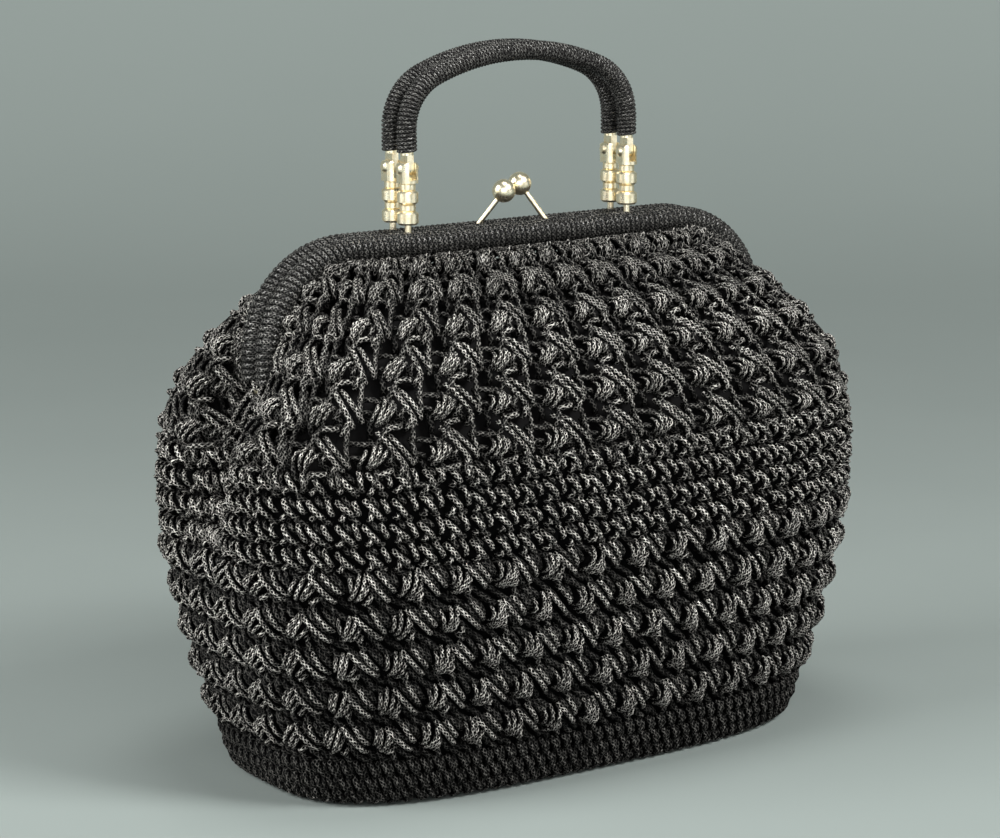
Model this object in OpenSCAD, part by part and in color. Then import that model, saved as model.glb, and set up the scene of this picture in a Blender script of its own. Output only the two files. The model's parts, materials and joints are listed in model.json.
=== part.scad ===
// Crocheted cord handbag on a hinged kiss-lock frame with two arched handles.
// Millimetres. X is the width, -Y the front, +Z up, the origin is under the middle of the base.

/* [Crocheted body] */
// Width of the body at its widest loop
body_w = 284; // [250:1:320]
// Depth of the body at its widest loop
body_d = 152; // [130:1:180]
// How far the widest loop lies below the hinge
widest_drop = 35; // [28:1:48]
// Width of the base
base_w = 236; // [210:1:250]
// Depth of the base
base_d = 120; // [100:1:128]
// Rounding of the bottom edge
foot_r = 7; // [5:0.5:9]
// Squareness of the plan: 2 is an ellipse, more is boxier
plan_power = 3.3; // [2.6:0.1:3.6]
// Wall of the crochet
crochet_t = 4; // [3:0.25:5]
// Thickness of the crocheted base
crochet_base_t = 3.6; // [3:0.1:5]
// Number of stitch motifs round the body
motif_count = 30; // [24:2:34]
// How far a bobble stands out
bobble_rise = 2.6; // [1:0.1:3]
// How far a plain row stands out
ridge_rise = 1.3; // [0.5:0.1:2]
// How far round the ends the frame's legs draw them in
gather_d = 14; // [10:1:18]
// Height of the plain rows round the foot
foot_band_h = 16; // [13:0.5:20]
// Height of the plain band round the widest loop
band_h = 43; // [34:1:50]
// How far the plain band reaches above the widest loop
band_rise = 7; // [4:0.5:10]

/* [Lining and base board] */
// Thickness of the lining cloth
lining_t = 1; // [0.6:0.1:1.5]
// Thickness of the stiffening board
board_t = 2.4; // [1.5:0.1:3]
// Clearance between sewn layers
layer_gap = 1.3; // [1.2:0.05:1.6]

/* [Frame] */
// Width between the middles of the frame's legs
frame_w = 228; // [220:1:240]
// Height of the frame's top above the floor
frame_h = 210; // [204:1:222]
// Radius of the frame's shoulders
shoulder_r = 39; // [30:1:42]
// Straight length of the wrapped legs below the shoulders
leg_l = 7.8; // [6:0.1:11]
// Diameter over the cord wrapped round the frame
frame_wrap_d = 10.4; // [9:0.1:12]
// Diameter of the steel bar inside the wrapping
frame_bar_d = 6; // [5:0.1:7]
// Gap between the two closed half frames
frame_gap = 0.6; // [0.4:0.1:1.5]

/* [Hinge] */
// How far the crochet parts below the hinge's eyes
split_drop = 6.85; // [6:0.05:9]
// Diameter of the rivet's shank
rivet_d = 3; // [2:0.1:3.5]
// Diameter of the rivet's heads
rivet_head_d = 6; // [5:0.1:7]
// Diameter of the eye at the end of each leg
eye_d = 8; // [7:0.1:9]
// Thickness of each eye
eye_t = 1.5; // [1:0.1:2]

/* [Handle posts] */
// Distance between the two posts of one handle
post_spacing = 103.4; // [90:0.1:120]
// Height of the handle's pin above the frame
pin_rise = 24; // [22:0.5:28]
// Diameter of the turned beads
bead_d = 8.3; // [7:0.1:9]
// Diameter of the rings between the beads
ring_d = 6.2; // [5:0.1:7]
// Height of the rings between the beads
ring_h = 2.9; // [2.2:0.1:3.4]
// Diameter of the stud that screws into the frame
stud_d = 2.6; // [2.2:0.1:3.2]
// Width of the fork across its two flats
fork_w = 7.2; // [6.6:0.1:8]
// Diameter of the turned fork
fork_d = 8.4; // [7.5:0.1:9.2]
// Width of the slot in the fork
slot_w = 3.2; // [2.6:0.1:3.6]
// Diameter of the handle's pin
pin_d = 2.4; // [1.8:0.1:2.8]
// Diameter of the pin's heads
pin_head_d = 4.2; // [3.6:0.1:5]

/* [Handles] */
// Diameter over the cord wrapped round a handle
handle_d = 8; // [7:0.1:9.4]
// Diameter of the core inside the wrapping
core_d = 5; // [4.4:0.1:5.6]
// Height of the handle's middle line above its pin
handle_rise = 42.5; // [40:0.1:55]
// Radius of the handle's corners, below its flatter crown
handle_corner_r = 21.7; // [16:0.1:25]

/* [Clasp] */
// Diameter of the clasp's balls
ball_d = 9.2; // [8:0.1:9.3]
// Diameter of the clasp's stems
stem_d = 2.1; // [1.6:0.1:2.5]
// Distance between the stems' feet along the frame
stem_spacing = 32; // [26:0.5:36]
// Distance between the balls' middles along the frame
ball_spacing = 9.5; // [9.5:0.1:12]
// How far each ball leans past the middle of the bag
ball_lean = 1.5; // [1:0.1:2]
// Height of the lower ball's middle above the frame
ball_rise = 11.7; // [10:0.1:15]
// Height of the second ball above the first
ball_step = 1.9; // [1:0.1:2.5]

/* [Hidden] */
$fn = 64;
// Running clearance round pins, seat clearance and cut overrun
run_gap = 0.04;
seat_gap = 0.3;
over = 1;
// Small step for slopes of the body's surface, and the flat rim where the crochet parts
slope_step = 0.2;
split_rim = 1;

body_hw = body_w / 2;
body_hd = body_d / 2;
base_hw = base_w / 2;
base_hd = base_d / 2;

wrap_r = frame_wrap_d / 2;
frame_hw = frame_w / 2;
frame_y = wrap_r + frame_gap / 2;
rail_z = frame_h - wrap_r;
rail_hl = frame_hw - shoulder_r;
shoulder_z = rail_z - shoulder_r;
wrap_end_z = shoulder_z - leg_l;
bar_end_z = wrap_end_z - seat_gap;
eye_gap = 1;
pivot_h = wrap_end_z - eye_gap - eye_d / 2;
widest_h = pivot_h - widest_drop;

// The crochet's edge lies inside and in front of the wrapped frame
edge_step = (wrap_r + seat_gap) * sqrt(0.5);
edge_y = frame_y + edge_step;
edge_hw = frame_hw - edge_step;
edge_r = shoulder_r - edge_step;
edge_top = rail_z - edge_step;

// Levels of the stitch zones, from the floor up
side_low = crochet_base_t + seat_gap;
foot_rows = 2;
foot_high = foot_band_h;
bobble_rows = 5;
band_high = widest_h + band_rise;
bobble_high = band_high - band_h;
band_rows = 4;
split_z = pivot_h - eye_d / 2 - split_drop;
edge_row_share = 1.3;
open_high = edge_top - wrap_r * edge_row_share;
rows_below_split = foot_rows + bobble_rows + band_rows + 1;

// The first open row ends where the crochet parts. The rows above it draw together towards the top.
parted_rows = 4;
rise_share = 1.25;
function parted_z(s) = split_z + (open_high - split_z) * (rise_share * s + (1 - rise_share) * s * s);

row_edges = concat(
    [for (i = [0 : foot_rows - 1]) side_low + (foot_high - side_low) * i / foot_rows],
    [for (i = [0 : bobble_rows - 1]) foot_high + (bobble_high - foot_high) * i / bobble_rows],
    [for (i = [0 : band_rows]) bobble_high + (band_high - bobble_high) * i / band_rows],
    [for (i = [0 : parted_rows]) parted_z(i / parted_rows)],
    [edge_top]);
row_count = len(row_edges) - 1;
notch_h = 6;
gather_low = bobble_high;

// Two levels for each row of stitches: its lower edge and its middle
levels = concat([for (r = [0 : row_count - 1]) each
    [row_edges[r], (row_edges[r] + row_edges[r + 1]) / 2]], [edge_top]);
split_level = 2 * rows_below_split;
level_count = len(levels);

function clamp01(x) = min(max(x, 0), 1);
function smooth(x) = let (c = clamp01(x)) c * c * (3 - 2 * c);
function sharpen(c) = sign(c) * pow(abs(c), 2 / plan_power);

// Half width and half depth of the body's loop at a height
swell_power = 1.3;
function foot_inset(z) = z < foot_r ? foot_r - sqrt(foot_r * foot_r - pow(foot_r - z, 2)) : 0;
function half_w(z) = z < widest_h
    ? base_hw - foot_inset(z) + (body_hw - base_hw) * pow(sin(90 * z / widest_h), swell_power)
    : rail_hl + (body_hw - rail_hl) * (1 - pow((z - widest_h) / (edge_top - widest_h), 2));
function half_d(z) = z < widest_h
    ? base_hd - foot_inset(z) + (body_hd - base_hd) * sin(90 * z / widest_h)
    : edge_y + (body_hd - edge_y) * sqrt(max(0, 1 - pow((z - widest_h) / (edge_top - widest_h), 2)));

// Half width of the frame's inner edge at a height
function edge_x(z) = z < shoulder_z ? edge_hw
    : rail_hl + sqrt(max(0, edge_r * edge_r - pow(z - shoulder_z, 2)));

// How far the frame's legs draw the ends in at a height
function gather(z) = z < split_z
    ? (half_w(split_z) - edge_hw) * smooth((z - gather_low) / (split_z - gather_low))
    : half_w(z) - edge_x(z);

// Angles that share the widest loop into equal lengths
table_steps = 360;
function plan_pt(t) = [body_hw * sharpen(cos(t)), body_hd * sharpen(sin(t))];
plan_lengths = [for (i = 0, s = 0; i <= table_steps;
    i = i + 1, s = s + norm(plan_pt(360 * i / table_steps) - plan_pt(360 * (i - 1) / table_steps)))
    [s, 360 * i / table_steps]];
plan_total = plan_lengths[table_steps][0];
function loop_angle(share) = lookup(share * plan_total, plan_lengths);

// How far round the body a column lies from the frame's legs
function off_leg(t) = body_hd * abs(sharpen(sin(t)));

// A point on the body's plain surface: side is 1 for the back half, -1 for the front half
function skin(t, z, side) =
    let (x = half_w(z) * sharpen(cos(t)), y = half_d(z) * sharpen(sin(t)),
         drawn = x - sign(cos(t)) * gather(z) * exp(-pow(off_leg(t) / gather_d, 2)),
         lip = edge_y * smooth((z - split_z) / notch_h),
         parted = z > split_z ? side * (lip + abs(y) * (1 - lip / half_d(z))) : y)
    [drawn, parted, z];

// Outward direction of the plain surface
function facing(t, z, side) =
    let (parted = z > split_z,
         zz = min(z, parted ? edge_top - 2 * slope_step : split_z - slope_step),
         low = !parted ? -360 : side > 0 ? 0 : 180,
         high = !parted ? 720 : side > 0 ? 180 : 360,
         along = skin(min(t + slope_step, high), zz, side) - skin(max(t - slope_step, low), zz, side),
         up = skin(t, zz + slope_step, side) - skin(t, zz - slope_step, side),
         slant = cross(along, up),
         n = abs(z - split_z) < split_rim ? [slant[0], slant[1], 0] : slant)
    n / norm(n);

// Outward relief of the stitches at a grid corner
function zone_rise(row) = row < foot_rows ? ridge_rise
    : row < foot_rows + bobble_rows ? bobble_rise
    : row < foot_rows + bobble_rows + band_rows ? ridge_rise
    : row < row_count - 1 ? bobble_rise : 0;
function staggered(row) = row >= foot_rows && row < foot_rows + bobble_rows && row % 2 == 1;
function relief(j, k, t, z) =
    let (row = floor(k / 2), mid = k % 2 == 1, crest = (j + (staggered(row) ? 1 : 0)) % 2 == 0,
         plain = zone_rise(row) == ridge_rise, rise = !mid ? 0 : plain || crest ? zone_rise(row) : 0,
         near_leg = smooth((off_leg(t) - edge_y) / gather_d))
    rise * (z < split_z - notch_h ? 1 : near_leg);

// A closed wall over a grid of columns and levels. The angles give the columns, where a wrapped
// grid joins its last column to its first. keep(j, k) says which cells exist, gap(j, k) which of
// them have an opening, and depths are how far the two faces lie inside the plain surface.
gap_low_share = 0.22;
gap_high_share = 0.78;
module grid_wall(angles, heights, wrapped, side, depths, bumps, keep, gap) {
    n = len(angles);
    m = len(heights);
    cells = wrapped ? n : n - 1;
    size = n * m;
    function at(j, k, face) = face * size + k * n + j % n;
    function corner(j, k, face) =
        let (t = angles[j], z = heights[k], rise = face == 0 && bumps ? relief(j, k, t, z) : 0)
        skin(t, z, side) - facing(t, z, side) * (depths[face] - rise);
    faces_pts = [for (face = [0, 1], k = [0 : m - 1], j = [0 : n - 1]) corner(j, k, face)];
    holes = [for (k = [0 : m - 2], j = [0 : cells - 1]) if (keep(j, k) && gap(j, k)) [j, k]];
    ring_shares = [[gap_low_share, gap_low_share], [gap_high_share, gap_low_share],
        [gap_high_share, gap_high_share], [gap_low_share, gap_high_share]];
    function blend4(j, k, face, uv) =
        (faces_pts[at(j, k, face)] * (1 - uv[0]) + faces_pts[at(j + 1, k, face)] * uv[0]) * (1 - uv[1])
        + (faces_pts[at(j, k + 1, face)] * (1 - uv[0]) + faces_pts[at(j + 1, k + 1, face)] * uv[0]) * uv[1];
    hole_pts = [for (h = holes, face = [0, 1], uv = ring_shares) blend4(h[0], h[1], face, uv)];
    function hole_at(h, face, i) = 2 * size + h * 8 + face * 4 + i % 4;
    function ring(j, k, face) =
        [at(j, k, face), at(j + 1, k, face), at(j + 1, k + 1, face), at(j, k + 1, face)];
    function quad(a, b, c, d) = [[a, c, b], [a, d, c]];
    function there(j, k) = k >= 0 && k < m - 1 && (wrapped || (j >= 0 && j < cells))
        && keep((j + cells) % cells, k);
    function wall(a, b, j, k) = quad(at(a[0], a[1], 1), at(b[0], b[1], 1), at(b[0], b[1], 0), at(a[0], a[1], 0));
    skins = [for (k = [0 : m - 2], j = [0 : cells - 1]) if (keep(j, k) && !gap(j, k))
        let (o = ring(j, k, 0), i = ring(j, k, 1))
        each concat(quad(o[0], o[1], o[2], o[3]), quad(i[3], i[2], i[1], i[0]))];
    rims = [for (k = [0 : m - 2], j = [0 : cells - 1]) if (keep(j, k)) each concat(
        there(j, k - 1) ? [] : wall([j, k], [j + 1, k], j, k),
        there(j, k + 1) ? [] : wall([j + 1, k + 1], [j, k + 1], j, k),
        there(j - 1, k) ? [] : wall([j, k + 1], [j, k], j, k),
        there(j + 1, k) ? [] : wall([j + 1, k], [j + 1, k + 1], j, k))];
    frames = [for (h = [0 : 1 : len(holes) - 1], i = [0 : 3])
        let (o = ring(holes[h][0], holes[h][1], 0), b = ring(holes[h][0], holes[h][1], 1), e = (i + 1) % 4)
        each concat(
            quad(o[i], o[e], hole_at(h, 0, e), hole_at(h, 0, i)),
            quad(hole_at(h, 1, i), hole_at(h, 1, e), b[e], b[i]),
            quad(hole_at(h, 0, i), hole_at(h, 0, e), hole_at(h, 1, e), hole_at(h, 1, i)))];
    polyhedron(concat(faces_pts, hole_pts), concat(skins, rims, frames));
}

// Plan outline of the base at a given inset
function base_outline(inset) = [for (j = [0 : 2 * motif_count - 1])
    let (t = loop_angle(j / (2 * motif_count)))
    [(base_hw - inset) * sharpen(cos(t)), (base_hd - inset) * sharpen(sin(t))]];

column_count = 2 * motif_count;
half_count = motif_count;
all_angles = [for (j = [0 : column_count - 1]) loop_angle(j / column_count)];
front_angles = [for (j = [half_count : column_count]) loop_angle(j / column_count)];
first_open_level = 2 * (foot_rows + bobble_rows + band_rows);
last_open_level = level_count - 4;
function open_cell(j, k) = k >= first_open_level && k <= last_open_level && k % 2 == 0 && j % 2 == 1;

module crochet_base() {
    color([0.03, 0.03, 0.035]) {
        linear_extrude(crochet_base_t / 2) polygon(base_outline(foot_r / 2));
        translate([0, 0, crochet_base_t / 2]) linear_extrude(crochet_base_t / 2)
            polygon(base_outline(foot_inset(side_low) + seat_gap));
    }
}

module crochet_sides() {
    color([0.04, 0.04, 0.045])
        grid_wall(all_angles, levels, true, 1, [0, crochet_t], true,
            function(j, k) k < split_level || j < half_count,
            function(j, k) open_cell(j, k));
}

module crochet_front_panel() {
    upper = [for (k = [split_level : level_count - 1]) k == split_level ? levels[k] + seat_gap : levels[k]];
    color([0.05, 0.05, 0.055])
        grid_wall(front_angles, upper, false, -1, [0, crochet_t], true,
            function(j, k) true,
            function(j, k) open_cell(j + half_count, k + split_level) && j > 0 && j < half_count - 1);
}

// The lining follows the crochet's inner face on a coarser grid
lining_depth = crochet_t + layer_gap;
lining_low = crochet_base_t + seat_gap + board_t + seat_gap;
lining_stride = 4;
// Every other column, and each one close to the frame's legs
leg_columns = 7;
function lining_column(j) = j % 2 == 0 || min(j % half_count, half_count - j % half_count) < leg_columns;
lining_columns = [for (j = [0 : column_count - 1]) if (lining_column(j)) all_angles[j]];
lining_half = len([for (j = [0 : half_count - 1]) if (lining_column(j)) j]);
gather_level = 2 * (foot_rows + bobble_rows);
lining_lower = concat([lining_low + lining_t],
    [for (k = [2 * foot_rows + 2 : lining_stride : gather_level - 2]) levels[k]],
    [for (k = [gather_level : 2 : split_level - 2]) levels[k]], [levels[split_level - 1], split_z]);
lining_upper = [for (k = [split_level + 1 : level_count - 3]) if (k % 2 == 0 || k < split_level + 7) levels[k]];
lining_levels = concat(lining_lower, lining_upper);
lining_split = len(lining_lower) - 1;

module lining_floor() {
    inset = foot_r / 2 + crochet_t + layer_gap;
    translate([0, 0, lining_low]) linear_extrude(lining_t) polygon(base_outline(inset));
}

module lining_body() {
    color([0.22, 0.22, 0.23])
        grid_wall(lining_columns, lining_levels, true, 1, [lining_depth, lining_depth + lining_t], false,
            function(j, k) k < lining_split || j < lining_half,
            function(j, k) false);
}

module lining_base() {
    color([0.2, 0.2, 0.21]) lining_floor();
}

module lining_front_panel() {
    angles = [for (j = [half_count : column_count]) if (lining_column(j)) loop_angle(j / column_count)];
    heights = concat([split_z + seat_gap], lining_upper);
    color([0.24, 0.24, 0.25])
        grid_wall(angles, heights, false, -1, [lining_depth, lining_depth + lining_t], false,
            function(j, k) true, function(j, k) false);
}

module base_board() {
    color([0.45, 0.36, 0.25])
        translate([0, 0, crochet_base_t + seat_gap])
            linear_extrude(board_t) polygon(base_outline(foot_r / 2 + crochet_t + layer_gap));
}

// A round bar along the frame's inverted U, its legs ending at a height
module frame_path(d, end_z) {
    translate([-rail_hl, 0, rail_z]) rotate([0, 90, 0]) cylinder(d = d, h = 2 * rail_hl);
    for (s = [0, 1]) mirror([s, 0, 0]) {
        translate([rail_hl, 0, shoulder_z]) rotate([90, 0, 0])
            rotate_extrude(angle = 90) translate([shoulder_r, 0]) circle(d = d);
        translate([frame_hw, 0, end_z]) cylinder(d = d, h = shoulder_z - end_z);
    }
}

// Places on one half frame: side is -1 for the front, 1 for the back
pin_z = frame_h + pin_rise;
stud_low = rail_z - frame_bar_d / 4;
module at_posts(side) {
    for (s = [-1, 1]) translate([s * post_spacing / 2, side * frame_y, 0]) children();
}

function ball_z(side) = frame_h + ball_rise + (side < 0 ? ball_step : 0);
function stem_foot(side) = [-side * stem_spacing / 2, side * frame_y, rail_z];
function ball_pt(side) = [-side * ball_spacing / 2, -side * ball_lean, ball_z(side)];
module along_stem(side) {
    way = ball_pt(side) - stem_foot(side);
    translate(stem_foot(side))
        rotate([0, acos(way[2] / norm(way)), atan2(way[1], way[0])]) children();
}
function stem_length(side) = norm(ball_pt(side) - stem_foot(side));

// Eye that brings a leg's end to the hinge axis. The front eyes lie inside the back ones.
arm_share = 0.8;
arm_w = frame_bar_d * arm_share;
module hinge_eye(side) {
    root_z = bar_end_z + arm_w / 2;
    rise = root_z - pivot_h;
    reach = norm([frame_y, rise]);
    for (s = [0, 1]) mirror([s, 0, 0])
        translate([frame_hw + (side < 0 ? -run_gap - eye_t : run_gap), 0, pivot_h]) {
            rotate([0, 90, 0]) cylinder(d = eye_d, h = eye_t);
            rotate([side * -atan2(frame_y, rise), 0, 0])
                translate([0, -arm_w / 2, 0]) cube([eye_t, arm_w, reach]);
        }
}

module frame_bar(side) {
    difference() {
        union() {
            translate([0, side * frame_y, 0]) frame_path(frame_bar_d, bar_end_z);
            hinge_eye(side);
        }
        translate([-frame_hw - eye_d, 0, pivot_h]) rotate([0, 90, 0])
            cylinder(d = rivet_d + 2 * run_gap, h = 2 * (frame_hw + eye_d));
        at_posts(side) translate([0, 0, stud_low]) cylinder(d = stud_d + 2 * run_gap, h = frame_wrap_d);
        along_stem(side) cylinder(d = stem_d + 2 * run_gap, h = frame_wrap_d);
    }
}

module frame_wrap(side) {
    difference() {
        translate([0, side * frame_y, 0]) difference() {
            frame_path(frame_wrap_d, wrap_end_z);
            frame_path(frame_bar_d + 2 * run_gap, wrap_end_z - over);
        }
        at_posts(side) translate([0, 0, rail_z]) cylinder(d = stud_d + 2 * run_gap, h = frame_wrap_d);
        along_stem(side) cylinder(d = stem_d + 2 * run_gap, h = frame_wrap_d * 2);
    }
}

module front_frame_bar() { color([0.5, 0.5, 0.52]) frame_bar(-1); }
module back_frame_bar() { color([0.5, 0.5, 0.52]) frame_bar(1); }
module front_frame_wrap() { color([0.05, 0.05, 0.055]) frame_wrap(-1); }
module back_frame_wrap() { color([0.05, 0.05, 0.055]) frame_wrap(1); }

// Rivet through both eyes of one end, with a low head on each side
rivet_head_h = 1.2;
module hinge_rivet(side) {
    grip = eye_t + 2 * run_gap;
    head = [[0, 0], [rivet_head_d / 2, 0], [rivet_head_d / 2, rivet_head_h / 2],
        [rivet_head_d / 3, rivet_head_h], [0, rivet_head_h]];
    translate([side * frame_hw, 0, pivot_h]) rotate([0, 90, 0]) {
        translate([0, 0, -grip]) cylinder(d = rivet_d, h = 2 * grip);
        for (s = [0, 1]) mirror([0, 0, s]) translate([0, 0, grip]) rotate_extrude() polygon(head);
    }
}

module hinge_rivet_left() { color([0.78, 0.66, 0.4]) hinge_rivet(-1); }
module hinge_rivet_right() { color([0.78, 0.66, 0.4]) hinge_rivet(1); }

// Turned post: a stud, beads and rings by turns, and a fork that holds the handle's pin
foot_gap = 2.6;
fork_drop = 5.4;
fork_crown = 2.4;
slot_floor = 1.3;
fork_low = pin_rise - fork_drop;
bead_h = (fork_low - foot_gap - 2 * ring_h) / 2;
bevel_share = 0.15;
crown_share = 0.3;

// A turned disc with bevelled edges, standing on a height
module turned_disc(d, h, z) {
    bevel = h * bevel_share;
    translate([0, 0, z]) rotate_extrude() polygon([[0, 0], [d / 2 - bevel, 0], [d / 2, bevel],
        [d / 2, h - bevel], [d / 2 - bevel, h], [0, h]]);
}

// Fork: turned with a bevelled crown, then filed flat on both sides for the pin's heads
module fork_block() {
    cut = fork_crown * crown_share;
    top = pin_rise + fork_crown;
    intersection() {
        rotate_extrude() polygon([[0, fork_low], [fork_d / 2, fork_low], [fork_d / 2, top - cut],
            [fork_d / 2 - cut, top], [0, top]]);
        translate([-fork_w / 2, -fork_d, fork_low - over]) cube([fork_w, 2 * fork_d, top - fork_low + 2 * over]);
    }
}

module handle_post(end, side) {
    pitch = bead_h + ring_h;
    translate([end * post_spacing / 2, side * frame_y, frame_h]) difference() {
        union() {
            translate([0, 0, stud_low - frame_h]) cylinder(d = stud_d, h = frame_h - stud_low + foot_gap);
            for (i = [0, 1]) {
                turned_disc(bead_d, bead_h, foot_gap + i * pitch);
                turned_disc(ring_d, ring_h, foot_gap + i * pitch + bead_h);
            }
            fork_block();
        }
        translate([-slot_w / 2, -fork_d, fork_low + slot_floor]) cube([slot_w, 2 * fork_d, 2 * fork_d]);
        translate([-fork_w, 0, pin_rise]) rotate([0, 90, 0]) cylinder(d = pin_d + 2 * run_gap, h = 2 * fork_w);
    }
}

module front_left_post() { color([0.82, 0.7, 0.42]) handle_post(-1, -1); }
module front_right_post() { color([0.82, 0.7, 0.42]) handle_post(1, -1); }
module back_left_post() { color([0.82, 0.7, 0.42]) handle_post(-1, 1); }
module back_right_post() { color([0.82, 0.7, 0.42]) handle_post(1, 1); }

// Pin with a low round head on each side of the fork
pin_head_h = 0.9;
module handle_pin(end, side) {
    reach = fork_w / 2 + run_gap;
    translate([end * post_spacing / 2, side * frame_y, pin_z]) rotate([0, 90, 0]) {
        translate([0, 0, -reach]) cylinder(d = pin_d, h = 2 * reach);
        for (s = [0, 1]) mirror([0, 0, s]) translate([0, 0, reach]) cylinder(d1 = pin_head_d, d2 = pin_d, h = pin_head_h);
    }
}

module front_left_pin() { color([0.85, 0.73, 0.46]) handle_pin(-1, -1); }
module front_right_pin() { color([0.85, 0.73, 0.46]) handle_pin(1, -1); }
module back_left_pin() { color([0.85, 0.73, 0.46]) handle_pin(-1, 1); }
module back_right_pin() { color([0.85, 0.73, 0.46]) handle_pin(1, 1); }

// Tang at a handle's end: a round rod that the core sits on, filed flat to a tongue that turns in the fork
tongue_t = slot_w - seat_gap;
tongue_r = core_d / 2;
rod_gap = 1.1;
rod_low = fork_d / 2 + rod_gap;
rod_h = 1.2;
rod_top = rod_low + rod_h;
module handle_tang(end, side) {
    translate([end * post_spacing / 2, side * frame_y, pin_z]) difference() {
        union() {
            translate([-tongue_t / 2, 0, 0]) rotate([0, 90, 0]) cylinder(r = tongue_r, h = tongue_t);
            translate([-tongue_t / 2, -tongue_r, 0]) cube([tongue_t, 2 * tongue_r, rod_low]);
            translate([0, 0, rod_low]) cylinder(d = core_d, h = rod_h);
        }
        translate([-slot_w, 0, 0]) rotate([0, 90, 0]) cylinder(d = pin_d + 2 * run_gap, h = 2 * slot_w);
    }
}

module front_left_tang() { color([0.8, 0.68, 0.4]) handle_tang(-1, -1); }
module front_right_tang() { color([0.8, 0.68, 0.4]) handle_tang(1, -1); }
module back_left_tang() { color([0.8, 0.68, 0.4]) handle_tang(-1, 1); }
module back_right_tang() { color([0.8, 0.68, 0.4]) handle_tang(1, 1); }

// Arch of a handle: short legs, two round corners and a flatter crown. A corner's arc and the crown's arc meet
// on the line through both their middles, and that line stands at the slope of a 5-12-13 triangle.
slope = [5, 12, 13];
crown_in = post_spacing / 2 - handle_corner_r;
crown_drop = crown_in * slope[1] / slope[0];
crown_r = handle_corner_r + crown_in * slope[2] / slope[0];
arch_h = handle_rise - rod_top;
leg_h = arch_h - crown_r + crown_drop;

// Upright plate of a given outline, thicker than the handle
module upright(outline) {
    rotate([90, 0, 0]) translate([0, 0, -handle_d]) linear_extrude(2 * handle_d) polygon(outline);
}

module bent_rod(d, r, angle) {
    rotate([90, 0, 0]) rotate_extrude(angle = angle) translate([r, 0]) circle(d = d);
}

module arch_solid(d, low) {
    up = [slope[0], slope[1]];
    translate([0, 0, leg_h - crown_drop]) intersection() {
        bent_rod(d, crown_r, 180);
        upright([[0, 0], up * crown_r / slope[0], [-slope[0], slope[1]] * crown_r / slope[0]]);
    }
    for (s = [0, 1]) mirror([s, 0, 0]) {
        translate([crown_in, 0, leg_h]) intersection() {
            bent_rod(d, handle_corner_r, 90);
            upright([-up * handle_d / slope[0], [4 * handle_corner_r, -slope[1] * handle_d / slope[0]],
                up * handle_corner_r / slope[0] * 2]);
        }
        translate([post_spacing / 2, 0, low]) cylinder(d = d, h = leg_h - low);
    }
}

module arch_wrap() {
    difference() {
        arch_solid(handle_d, 0);
        arch_solid(core_d + 2 * run_gap, -over);
    }
}

module at_handle(side) {
    translate([0, side * frame_y, pin_z + rod_top]) children();
}

module front_handle_core() { color([0.4, 0.4, 0.42]) at_handle(-1) arch_solid(core_d, 0); }
module back_handle_core() { color([0.4, 0.4, 0.42]) at_handle(1) arch_solid(core_d, 0); }
module front_handle_wrap() { color([0.05, 0.05, 0.055]) at_handle(-1) arch_wrap(); }
module back_handle_wrap() { color([0.05, 0.05, 0.055]) at_handle(1) arch_wrap(); }

// Kiss-lock clasp: a slanting stem from each half frame, with a ball on its end
grip_share = 0.3;
stem_grip = ball_d * grip_share;
groove_w = 0.5;
groove_h = 1.9;
module clasp_stem(side) {
    along_stem(side) translate([0, 0, frame_bar_d / 4])
        cylinder(d = stem_d, h = stem_length(side) - frame_bar_d / 4 - ball_d / 2 + stem_grip);
}

module clasp_ball(side) {
    pole = stem_length(side) + ball_d / 2;
    difference() {
        translate(ball_pt(side)) sphere(d = ball_d);
        along_stem(side) {
            translate([-ball_d, -groove_w / 2, pole - groove_h]) cube([2 * ball_d, groove_w, ball_d]);
            cylinder(d = stem_d + 2 * run_gap, h = stem_length(side) - ball_d / 2 + stem_grip);
        }
    }
}

module front_clasp_stem() { color([0.82, 0.7, 0.42]) clasp_stem(-1); }
module back_clasp_stem() { color([0.82, 0.7, 0.42]) clasp_stem(1); }
module front_clasp_ball() { color([0.86, 0.74, 0.46]) clasp_ball(-1); }
module back_clasp_ball() { color([0.86, 0.74, 0.46]) clasp_ball(1); }

crochet_base();
crochet_sides();
crochet_front_panel();
base_board();
lining_base();
lining_body();
lining_front_panel();
front_frame_bar();
back_frame_bar();
front_frame_wrap();
back_frame_wrap();
hinge_rivet_left();
hinge_rivet_right();
front_left_post();
front_right_post();
back_left_post();
back_right_post();
front_left_pin();
front_right_pin();
back_left_pin();
back_right_pin();
front_left_tang();
front_right_tang();
back_left_tang();
back_right_tang();
front_handle_core();
back_handle_core();
front_handle_wrap();
back_handle_wrap();
front_clasp_stem();
back_clasp_stem();
front_clasp_ball();
back_clasp_ball();
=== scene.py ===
import json
import math

import bpy
import numpy as np
from mathutils import Matrix, Vector

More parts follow.
